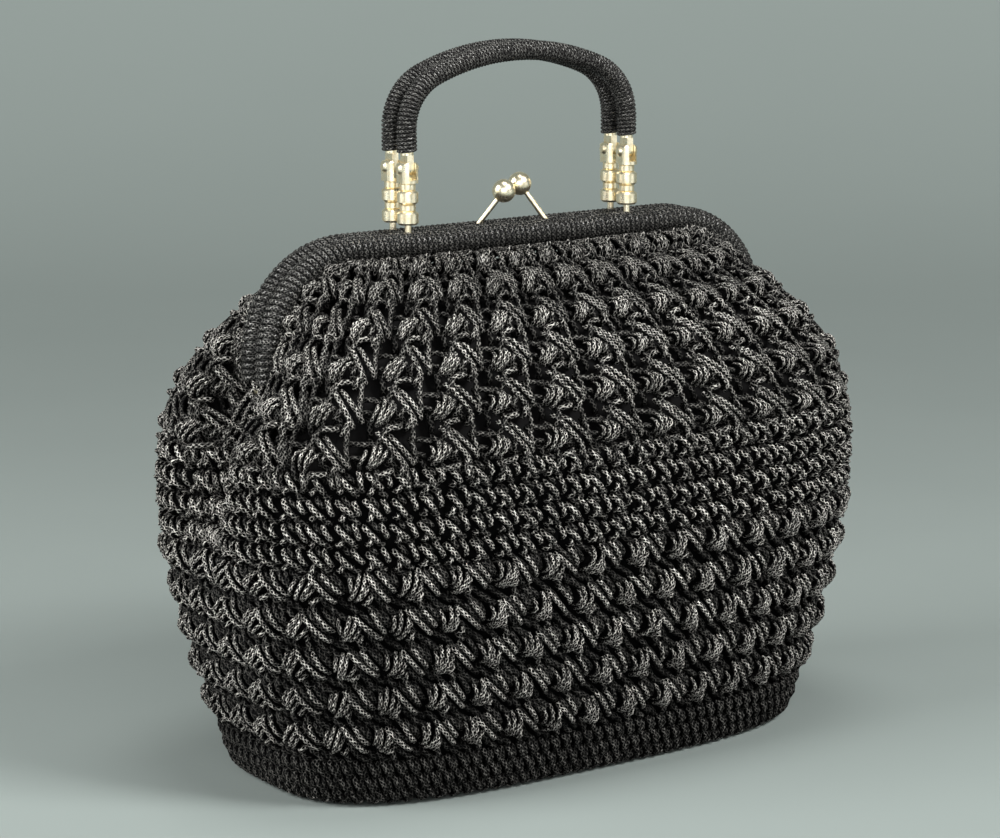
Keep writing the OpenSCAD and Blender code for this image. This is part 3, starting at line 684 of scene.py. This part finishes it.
# The last column is painted light, lowest on the sunk strands as painted shade.
open_plan = [
    (PUFF, 0.64, 0.03, 0.58, 0.08, 0.89, 0.0006, 0.85),
    (PUFF, 0.64, 0.10, 0.52, 0.18, 0.95, 0.0015, 1.0),
    (PUFF, 0.64, 0.17, 0.50, 0.28, 0.94, 0.0017, 1.0),
    (PUFF, 0.64, 0.24, 0.52, 0.37, 0.88, 0.0009, 0.9),
    (KNOT, 0.9, 0.44, 0.62, 0.51, 0.84, 0.0002, 0.4),
    (KNOT, 1.0, 0.28, 0.36, 0.50, 0.42, 0.0016, 0.6),
    (FLAT, 0.9, 0.29, 0.44, 0.23, 0.00, 0.0008, 0.3),
    (LONG, 0.9, 0.19, 0.28, 0.74, -0.56, 0.0016, 0.75),
    (LONG, 0.85, 0.35, 0.24, 0.85, -0.44, 0.0013, 0.7),
    (LONG, 0.9, 0.10, 0.10, 0.62, -0.56, -0.0008, 0.2),
    (KNOT, 0.9, 0.61, 0.32, 0.66, 0.56, 0.0014, 0.6),
    (FLAT, 0.8, 0.66, 0.52, 0.76, -0.06, 0.0010, 0.4),
    (FLAT, 0.8, 0.72, 0.10, 0.84, -0.44, 0.0006, 0.4),
    (FLAT, 0.9, 0.76, 0.08, 1.12, 0.00, -0.0008, 0.22),
    (FLAT, 0.8, 0.80, -0.22, 1.08, -0.30, -0.0012, 0.18),
    (FLAT, 1.0, 0.40, 0.60, 0.72, 0.40, -0.0022, 0.12),
    (FLAT, 1.0, -0.06, 0.70, 0.10, 0.24, -0.0024, 0.12),
]
edge_plan = [
    (FLAT, 1.0, 0.10, -0.10, 0.34, 0.98, 0.0002, 0.4),
    (FLAT, 1.0, 0.44, 0.10, 0.62, 1.00, -0.0002, 0.3),
    (FLAT, 0.9, 0.70, -0.20, 0.96, 0.90, 0.0004, 0.4),
    (KNOT, 1.0, 0.30, 0.50, 0.56, 0.62, 0.0006, 0.5),
]
edge_count = 44
edge_pitch = 0.0056


def points_at(marks, lengths, line):
    """Points of a line at given lengths along it."""
    return np.array([np.interp(marks, lengths, line[:, i]) for i in range(3)]).T


def edge_strands(side):
    """Stitches that sew one half of the openwork along its half frame."""
    samples = 60
    z = np.linspace(split_z + 0.012, edge_top - 0.002, samples)
    middle = np.array([0.0, 0.0, 0.150])
    stitch_reach = 0.0075
    batches = []
    for leg_angle in loop_ends(side):
        for shift, lean, shape in ((0.0, 0.0022, FLAT), (0.0026, -0.0012, KNOT)):
            t = np.full(samples, leg_angle)
            line = skin(t, z, side)
            lengths = lengths_along(line)
            marks = np.arange(edge_pitch / 2, lengths[-1], edge_pitch)
            index = np.searchsorted(lengths, marks)
            spot = points_at(np.minimum(marks + shift, lengths[-1]), lengths, line)
            way = np.gradient(line, axis=0)[index]
            way /= np.linalg.norm(way, axis=1)[:, None]
            face = facing(t[index], z[index], side)
            face[:, 1] = side * np.abs(face[:, 1]) + side * 0.4
            face /= np.linalg.norm(face, axis=1)[:, None]
            inward = np.cross(face, way)
            inward *= np.sign(((middle - spot) * inward).sum(1))[:, None]
            # On the legs the stitches lap further over the winding than at the shoulders
            lap = np.interp(spot[:, 2], (shoulder_z - 0.010, shoulder_z + 0.020), (1.0, 0.0))[:, None]
            outer = spot - inward * (0.0008 + 0.0042 * lap) + face * (0.0008 + 0.0026 * lap)
            inner = spot + inward * stitch_reach + way * lean - face * 0.0002
            # These stitches get a middling share of painted light.
            batches.append((outer, inner, face, shape, 1.0, 0.6))
    return batches


def hinge_cover():
    """Stitches of the two ends that are drawn over the hinges from the back half. The plan gives
    each strand as (shape, from y, from z, to y, to z, painted light and gloss)."""
    plan = [
        (LONG, 0.013, 0.138, 0.0005, 0.157, 0.7),
        (LONG, 0.009, 0.137, -0.003, 0.155, 0.5),
        (LONG, -0.013, 0.139, -0.0015, 0.157, 0.7),
        (LONG, -0.009, 0.137, 0.002, 0.154, 0.5),
        (FLAT, -0.005, 0.151, 0.005, 0.153, 0.8),
        (FLAT, -0.006, 0.147, 0.004, 0.148, 0.6),
        (FLAT, -0.003, 0.143, 0.007, 0.1445, 0.5),
        (KNOT, -0.002, 0.154, 0.003, 0.1575, 0.9),
        (FLAT, 0.006, 0.146, 0.013, 0.151, 0.6),
        (FLAT, -0.006, 0.145, -0.013, 0.150, 0.6),
    ]
    cover_x = 0.1152
    level_hd = 0.002
    flare = 0.55
    batches = []
    for end in (-1, 1):
        for shape, y0, z0, y1, z1, painted_light_and_gloss in plan:
            ends = []
            for y, z in ((y0, z0), (y1, z1)):
                ends.append(np.array([[end * (cover_x + max(0.0, abs(y) - level_hd) * flare), y, z]]))
            face = np.array([[end * 1.0, (y0 + y1) * 8, 0.3]])
            batches.append((ends[0], ends[1], face, shape, 1.0, painted_light_and_gloss))
    return batches


def openwork(name, side):
    """One half of the openwork: its rows, the row at its edge, and a closer fill at both ends."""
    shares = (0.0, 0.5) if side > 0 else (0.5, 1.0)
    fill_share = 0.06
    # The lowest row leaves out the strands that would hang down over the plain band
    lowest = [strand for strand in open_plan if strand[5] > -0.1]
    batches = []
    # The top two rows, just under the rail, get painted shade.
    for plan, rows, dullness_and_shade in ((lowest, [0], 1.0), (open_plan, range(1, 4), 1.0), (open_plan, [4, 5], 0.6)):
        batches += rows_of(
            plan, open_count, open_levels, rows, side=side, shares=shares, dullness_and_shade=dullness_and_shade, wobble=0.015)
    batches += rows_of(edge_plan, edge_count, open_levels, [6], side=side, shares=shares)
    # The closer fill lies deeper and gets painted shade.
    for part in ((shares[0], shares[0] + fill_share), (shares[1] - fill_share, shares[1])):
        batches += rows_of(
            open_plan, 2 * open_count, open_levels, range(4), side=side, shares=part, sink=0.0020, dullness_and_shade=0.4)
    if side > 0:
        batches += hinge_cover()
    return lay(name, batches + edge_strands(side), strand_shapes, strand_lengths, crochet_cord)


back_openwork = openwork("crochet_back_openwork", 1)
front_openwork = openwork("crochet_front_openwork", -1)
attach(back_openwork, "root")
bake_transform(front_openwork)
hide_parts("crochet_front_panel")

# Lining and stiffening board
# A bag of dark grey cloth inside the crochet, sewn in under the frame. It shows through the
# openwork. A fibreboard between the crocheted base and the lining's floor keeps the foot flat.
lining_depth = 0.0056
lining_t = 0.0006


def cloth_material(name, colour, scale):
    """Plain woven cloth with fine threads and faint creases."""
    material, tree, shader = new_material(name)
    place = node(tree, "ShaderNodeTexCoord")
    warp = node(tree, "ShaderNodeTexWave", {
        "Vector": place.outputs["Object"], "Scale": scale, "Distortion": 0.6}, bands_direction="X")
    weft = node(tree, "ShaderNodeTexWave", {
        "Vector": place.outputs["Object"], "Scale": scale, "Distortion": 0.6}, bands_direction="Z")
    weave = reckon(tree, "MULTIPLY", warp.outputs["Fac"], weft.outputs["Fac"])
    creases = node(tree, "ShaderNodeTexNoise", {
        "Vector": place.outputs["Object"], "Scale": 40.0, "Detail": 4.0})
    shade = reckon(tree, "MULTIPLY", weave, creases.outputs["Fac"])
    dark = (*[c * 0.55 for c in colour], 1)
    light = (*[min(1, c * 1.9) for c in colour], 1)
    tree.links.new(mixed(tree, shade, dark, light), shader.inputs["Base Color"])
    shader.inputs["Specular IOR Level"].default_value = 0.1
    rough = node(tree, "ShaderNodeMapRange", {"Value": creases.outputs["Fac"], "To Min": 0.7, "To Max": 0.95})
    tree.links.new(rough.outputs["Result"], shader.inputs["Roughness"])
    emboss(tree, shader, weave, 0.5, 0.0003)
    return material


# The cloth is coloured far darker than its own dark grey, as painted shade inside the bag where it shows
# through the openwork.
lining_cloth = cloth_material("lining_cloth", (0.007, 0.0067, 0.0065), 900.0)
floor_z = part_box("lining_base")[1].z
lining_split = 0.128
lining_top = 0.1945
lining_levels = np.linspace(floor_z, lining_split, 24)
upper_levels = np.concatenate([
    np.linspace(lining_split, split_z, 5), np.linspace(split_z, lining_top, 16)[1:]])
half_shares = np.linspace(0, 0.5, 61)


def lining_wall(name, shares, levels, side):
    """A part of the lining that follows the body's form."""
    cloth = body_wall(name, shares, levels, side, lining_depth, lining_depth + lining_t)
    cloth.data.materials.append(lining_cloth)
    return cloth


lining_bag = lining_wall("lining_bag", loop_shares, lining_levels, 0)
join(lining_bag, lining_wall("lining_back", half_shares, upper_levels, 1))
lining_front = lining_wall("lining_front", half_shares + 0.5, upper_levels, -1)
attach(lining_bag, "root")
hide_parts("lining_body")
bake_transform(lining_front)
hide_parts("lining_front_panel")


def lining_floor():
    """The lining's floor: a cut oval of the same cloth, laid on the board, with a slight wave."""
    count = 72
    rings = 12
    wave_h = 0.0004
    t = base_angles(count)
    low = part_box("lining_base")[0]
    points = [(0.0, 0.0, floor_z)]
    for r in range(1, rings + 1):
        ring = oval(t, -low.x * r / rings, -low.y * r / rings)
        wave = wave_h * np.sin(ring[:, 0] * 95) * np.sin(ring[:, 1] * 130)
        points += [(x, y, floor_z + w) for (x, y), w in zip(ring, wave)]
    faces = [(0, 1 + j, 1 + (j + 1) % count) for j in range(count)]
    for r in range(rings - 1):
        inner = 1 + r * count
        outer = inner + count
        for j in range(count):
            e = (j + 1) % count
            faces.append((inner + j, outer + j, outer + e, inner + e))
    cloth = mesh_object("lining_floor", points, faces)
    cloth.data.materials.append(lining_cloth)
    thick = cloth.modifiers.new("cloth", "SOLIDIFY")
    thick.thickness = lining_t
    return cloth


floor_cloth = lining_floor()
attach(floor_cloth, "root")
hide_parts("lining_base")


def plain_material(name, colour, spread, metallic, roughness, scale):
    """A plain piece whose colour and gloss vary softly over it."""
    material, tree, shader = new_material(name)
    shader.inputs["Metallic"].default_value = metallic
    place = node(tree, "ShaderNodeTexCoord")
    mottle = node(tree, "ShaderNodeTexNoise", {
        "Vector": place.outputs["Object"], "Scale": scale, "Detail": 6.0, "Roughness": 0.65})
    dark = (*[c * (1 - spread) for c in colour], 1)
    light = (*[min(1, c * (1 + spread)) for c in colour], 1)
    tree.links.new(mixed(tree, mottle.outputs["Fac"], dark, light), shader.inputs["Base Color"])
    rough = node(tree, "ShaderNodeMapRange", {
        "Value": mottle.outputs["Fac"], "To Min": roughness * 0.75, "To Max": min(1, roughness * 1.25)})
    tree.links.new(rough.outputs["Result"], shader.inputs["Roughness"])
    emboss(tree, shader, mottle.outputs["Fac"], 0.15, 0.0002)
    return material


def dress(material, *names):
    """Gives CAD nodes a material."""
    for name in names:
        mesh = frame["nodes"][name].data
        mesh.materials.clear()
        mesh.materials.append(material)


fibreboard = plain_material("fibreboard", (0.24, 0.17, 0.10), 0.35, 0.0, 0.85, 260.0)
dress(fibreboard, "base_board")

# Half frames
# Two steel bars bent to an inverted U and hinged at the ends of their legs by rivets. Cord is
# wound closely round each bar, turn against turn.
frame_pitch = 0.0024
frame_bar_r = 0.0029
wound_plait_l = 0.0013
# As with the crochet cord, the crest colour is a painted highlight and the valley colour a painted shade
# between the plaits.
wound_cord = cord_material("wound_cord", (0.004, 0.004, 0.004), (0.18, 0.175, 0.16), 4.0, 0.5, 0.10)


def cord_turn(name, inner, outer, pitch):
    """One turn of a winding round the X axis, from half a pitch before its point to half a pitch
    after it."""
    steps = 15
    sides = 8
    angles = np.linspace(0, 2 * math.pi, steps)
    middle = (inner + outer) / 2
    x = (angles / (2 * math.pi) - 0.5) * pitch
    line = np.stack([x, middle * np.cos(angles), middle * np.sin(angles)], -1)
    flatness = (outer - inner) / pitch
    turn = tube(name, line, (1.0, 0.0, 0.0), pitch * 0.5, sides, flatness, wound_plait_l)
    bpy.context.scene.collection.objects.unlink(turn)
    shapes = bpy.data.collections.new(name)
    shapes.objects.link(turn)
    return shapes


def wind(name, line, shapes, pitch):
    """Turns of cord along a line that lies in an upright plane across the bag's depth."""
    lengths = lengths_along(line)
    count = round(lengths[-1] / pitch)
    marks = (np.arange(count) + 0.5) / count * lengths[-1]
    ends = []
    for shift in (-pitch / 2, pitch / 2):
        ends.append(points_at(np.clip(marks + shift, 0, lengths[-1]), lengths, line))
    swell = 1 + chance.normal(0, 0.012, count)
    batch = (ends[0], ends[1], np.cross(ends[1] - ends[0], (0, 1, 0)), 0, swell, 1.0)
    return lay(name, [batch], shapes, [pitch], wound_cord)


def bent_bar(leg_x, leg_low, corner_r, top):
    """Line of an inverted U with quarter-round corners, from the foot of one leg to the other."""
    a = np.linspace(math.pi, math.pi / 2, 40)
    left = np.column_stack([corner_r - leg_x + corner_r * np.cos(a), top - corner_r + corner_r * np.sin(a)])
    half = np.concatenate([[(-leg_x, leg_low)], left])
    whole = np.concatenate([half, half[::-1] * (-1, 1)])
    return np.column_stack([whole[:, 0], np.zeros(len(whole)), whole[:, 1]])


frame_turn = cord_turn("frame_turn", frame_bar_r, wrap_r, frame_pitch)
frame_line = bent_bar(frame_hw, wrap_low.z, shoulder_r, rail_z)
for side, half, body in ((-1, "front", "front_frame"), (1, "back", "root")):
    half_line = frame_line + (0, side * frame_y, 0)
    winding = wind(f"{half}_frame_winding", half_line, frame_turn, frame_pitch)
    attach(winding, body)
    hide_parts(f"{half}_frame_wrap")

frame_steel = plain_material("frame_steel", (0.42, 0.41, 0.39), 0.25, 1.0, 0.42, 300.0)
dress(frame_steel, "front_frame_bar", "back_frame_bar")

# Brass pieces
# Turned posts with beads and forks, pins, tangs, hinge rivets and the kiss-lock clasp, all of
# gilt brass. The posts are screwed into the bars. The gilding is bright, with browner patches.


def brass_material(name):
    """Gilt brass with a soft tarnish and fine scratches."""
    material, tree, shader = new_material(name)
    shader.inputs["Metallic"].default_value = 1.0
    place = node(tree, "ShaderNodeTexCoord")
    rub = node(tree, "ShaderNodeTexNoise", {
        "Vector": place.outputs["Object"], "Scale": 420.0, "Detail": 5.0, "Roughness": 0.7})
    tarnish = node(tree, "ShaderNodeMapRange", {
        "Value": rub.outputs["Fac"], "From Min": 0.45, "From Max": 0.75})
    bright = (1.0, 0.90, 0.68, 1)
    brown = (0.76, 0.60, 0.35, 1)
    tree.links.new(mixed(tree, tarnish.outputs["Result"], bright, brown), shader.inputs["Base Color"])
    rough = node(tree, "ShaderNodeMapRange", {
        "Value": rub.outputs["Fac"], "From Min": 0.3, "From Max": 0.8, "To Min": 0.24, "To Max": 0.38})
    tree.links.new(rough.outputs["Result"], shader.inputs["Roughness"])
    scratches = node(tree, "ShaderNodeTexNoise", {
        "Vector": place.outputs["Object"], "Scale": 1500.0, "Detail": 3.0})
    emboss(tree, shader, scratches.outputs["Fac"], 0.08, 0.0001)
    return material


brass = brass_material("gilt_brass")
ends_of_handles = [f"{half}_{end}" for half in ("front", "back") for end in ("left", "right")]
for kind in ("post", "pin", "tang"):
    dress(brass, *[f"{end}_{kind}" for end in ends_of_handles])
dress(brass, "hinge_rivet_left", "hinge_rivet_right")
dress(brass, "front_clasp_stem", "back_clasp_stem", "front_clasp_ball", "back_clasp_ball")

# Handles
# Two arched cores closely wound with thinner cord, each end set on the rod of its tang.
# They stand together and fold outwards on their pins.
handle_low, handle_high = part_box("front_handle_wrap")
handle_r = (handle_high.y - handle_low.y) / 2
handle_corner_r = 0.0217
handle_core_r = 0.0024
handle_pitch = 0.0015


def arched_handle():
    """Line of a handle: legs, round corners, and a flatter crown that meets them at the slope of a
    5-12-13 triangle."""
    leg_x = handle_high.x - handle_r
    crown_in = leg_x - handle_corner_r
    crown_r = handle_corner_r + crown_in * 13 / 5
    crown_z = handle_high.z - handle_r - crown_r
    corner_z = crown_z + crown_in * 12 / 5
    meet = math.atan2(12, 5)
    a = np.linspace(math.pi, math.pi - meet, 24)
    corner = np.column_stack([handle_corner_r * np.cos(a) - crown_in, handle_corner_r * np.sin(a) + corner_z])
    a = np.linspace(math.pi - meet, math.pi / 2, 24)[1:]
    crown = np.column_stack([crown_r * np.cos(a), crown_r * np.sin(a) + crown_z])
    half = np.concatenate([[(-leg_x, handle_low.z)], corner, crown])
    whole = np.concatenate([half, half[-2::-1] * (-1, 1)])
    return np.column_stack([whole[:, 0], np.zeros(len(whole)), whole[:, 1]])


handle_turn = cord_turn("handle_turn", handle_core_r, handle_r, handle_pitch)
handle_line = arched_handle()
for side, half in ((-1, "front"), (1, "back")):
    half_line = handle_line + (0, side * frame_y, 0)
    winding = wind(f"{half}_handle_winding", half_line, handle_turn, handle_pitch)
    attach(winding, f"{half}_handle")
    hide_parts(f"{half}_handle_wrap")

handle_core = plain_material("handle_core", (0.06, 0.055, 0.05), 0.3, 0.0, 0.7, 300.0)
dress(handle_core, "front_handle_core", "back_handle_core")

# Floor, light and camera
# A plain pale floor that curves up behind, soft light from the left, the front and above, and
# the camera low at the bag's front left.
view_turn = math.radians(34.0)
pale = (0.200, 0.232, 0.218, 1)
paler = (0.215, 0.248, 0.233, 1)


def seen_background(tree):
    """1 for what the camera sees, also through glass or in metal, and 0 for light on its way."""
    path = node(tree, "ShaderNodeLightPath").outputs
    seen = reckon(tree, "MAXIMUM", path["Is Camera Ray"], path["Is Glossy Ray"])
    return reckon(tree, "MAXIMUM", seen, path["Is Transmission Ray"])


def studio_floor():
    """A floor square to the camera that curves up to a wall. Away from the lamps it stays pale."""
    half_w = 6.0
    front_y = -4.0
    bend_y = 1.2
    bend_r = 1.5
    wall_top = 5.0
    profile = [(front_y, 0.0), (bend_y, 0.0)]
    for a in np.linspace(0, math.pi / 2, 16)[1:]:
        profile.append((bend_y + bend_r * math.sin(a), bend_r - bend_r * math.cos(a)))
    profile.append((bend_y + bend_r, wall_top))
    points = [(s * half_w, y, z) for y, z in profile for s in (-1, 1)]
    faces = [(2 * i, 2 * i + 1, 2 * i + 3, 2 * i + 2) for i in range(len(profile) - 1)]
    floor = mesh_object("studio_floor", points, faces)
    floor.data.transform(Matrix.Rotation(-view_turn, 4, "Z"))
    material, tree, shader = new_material("pale_floor")
    place = node(tree, "ShaderNodeTexCoord")
    grain = node(tree, "ShaderNodeTexNoise", {"Vector": place.outputs["Object"], "Scale": 6.0, "Detail": 3.0})
    tone = mixed(tree, grain.outputs["Fac"], pale, paler)
    seen = seen_background(tree)
    tree.links.new(mixed(tree, seen, (0.12, 0.13, 0.13, 1), tone), shader.inputs["Base Color"])
    shader.inputs["Roughness"].default_value = 0.9
    away = node(tree, "ShaderNodeVectorMath", {0: place.outputs["Object"]}, operation="LENGTH")
    far = node(tree, "ShaderNodeMapRange", {
        "Value": away.outputs["Value"], "From Min": 0.3, "From Max": 2.4}, interpolation_type="SMOOTHSTEP")
    haze = reckon(tree, "MULTIPLY", far.outputs["Result"], seen)
    tree.links.new(mixed(tree, haze, (0.0, 0.0, 0.0, 1), pale), shader.inputs["Emission Color"])
    shader.inputs["Emission Strength"].default_value = 1.0
    floor.data.materials.append(material)
    return floor


studio_floor()


def softbox(name, place, aim, size, power):
    """A rectangular lamp that faces a point."""
    light = bpy.data.lights.new(name, "AREA")
    light.shape = "RECTANGLE"
    light.size, light.size_y = size
    light.energy = power
    lamp = bpy.data.objects.new(name, light)
    lamp.location = place
    lamp.rotation_euler = (Vector(aim) - Vector(place)).to_track_quat("-Z", "Y").to_euler()
    bpy.context.scene.collection.objects.link(lamp)


bag_middle = (0.0, 0.0, 0.14)
softbox("left_softbox", (-1.25, 0.20, 0.75), bag_middle, (0.8, 1.0), 27)
softbox("key_softbox", (0.45, -1.10, 1.20), bag_middle, (0.5, 0.5), 31)
softbox("top_softbox", (0.0, -0.10, 1.5), bag_middle, (0.5, 0.5), 8)
softbox("front_card", (-1.00, -1.60, 0.60), bag_middle, (2.0, 1.4), 20)
softbox("low_card", (0.75, -1.10, 0.20), bag_middle, (0.9, 0.45), 1.1)

world = bpy.data.worlds.new("studio")
world.use_nodes = True
sky = world.node_tree
air = mixed(sky, seen_background(sky), (0.045, 0.0475, 0.05, 1), paler)
sky.links.new(air, sky.nodes["Background"].inputs["Color"])
bpy.context.scene.world = world

view_fall = math.radians(10.7)
view_roll = math.radians(-0.45)
view_range = 1.2316
view_middle = Vector((0.0, 0.0, 0.140))
image_w = 1000
image_h = 838
middle_px = (513.4, 394.1)
focal_px = 3100
ahead = Vector((
    math.sin(view_turn) * math.cos(view_fall),
    math.cos(view_turn) * math.cos(view_fall),
    -math.sin(view_fall)))
level_right = Vector((math.cos(view_turn), -math.sin(view_turn), 0.0))
level_up = level_right.cross(ahead)
right = level_right * math.cos(view_roll) + level_up * math.sin(view_roll)
up = level_up * math.cos(view_roll) - level_right * math.sin(view_roll)
camera = bpy.data.cameras.new("camera")
camera.sensor_width = 36.0
camera.lens = camera.sensor_width * focal_px / image_w
camera.shift_x = (image_w / 2 - middle_px[0]) / image_w
camera.shift_y = (middle_px[1] - image_h / 2) / image_w
camera_object = bpy.data.objects.new("camera", camera)
camera_object.matrix_world = Matrix.Translation(view_middle - ahead * view_range) @ Matrix(
    (right, up, -ahead)).transposed().to_4x4()
bpy.context.scene.collection.objects.link(camera_object)
bpy.context.scene.camera = camera_object
bpy.context.scene.view_settings.view_transform = "Standard"

# The single strands and turns that were laid many times are no pieces of the bag themselves
for shapes in (strand_shapes, frame_turn, handle_turn):
    for shape in list(shapes.objects):
        bpy.data.objects.remove(shape)
    bpy.data.collections.remove(shapes)
